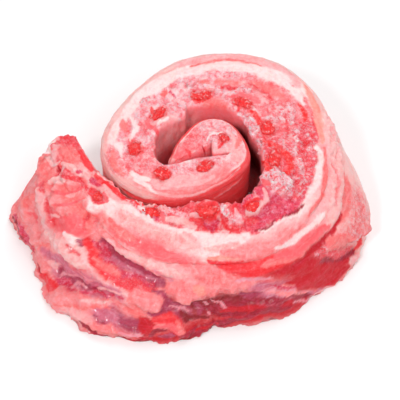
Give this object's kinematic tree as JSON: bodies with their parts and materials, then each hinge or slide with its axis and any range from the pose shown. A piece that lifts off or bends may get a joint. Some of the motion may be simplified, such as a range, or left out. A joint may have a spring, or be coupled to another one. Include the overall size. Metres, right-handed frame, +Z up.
{
  "type": "pork belly slab",
  "caption": "Raw bone-in pork belly strip with the rind on, rolled up loosely in a spiral and stood on its cut edge, ribs showing at the top cut.",
  "frame": {"origin": "middle of the footprint, on the surface that the slab stands on", "axes": "+X along the longest extent, from the loose end of the strip to the flap of rind; +Y from the low front of the roll to its high back; +Z up, along the roll's axis"},
  "size_m": [0.2444, 0.1946, 0.0661],
  "materials": {
    "pork": "raw pork: salmon pink rind, white fat and pink to deep red lean, moist",
    "rib": "sawn rib ends, spongy and bright red"
  },
  "bodies": {
    "root": {"belly_slab": "pork", "rib_01": "rib", "rib_02": "rib", "rib_03": "rib", "rib_04": "rib", "rib_05": "rib", "rib_06": "rib", "rib_07": "rib", "rib_08": "rib", "rib_09": "rib", "rib_10": "rib", "rib_11": "rib", "rib_12": "rib", "rib_13": "rib"}
  },
  "joints": []
}
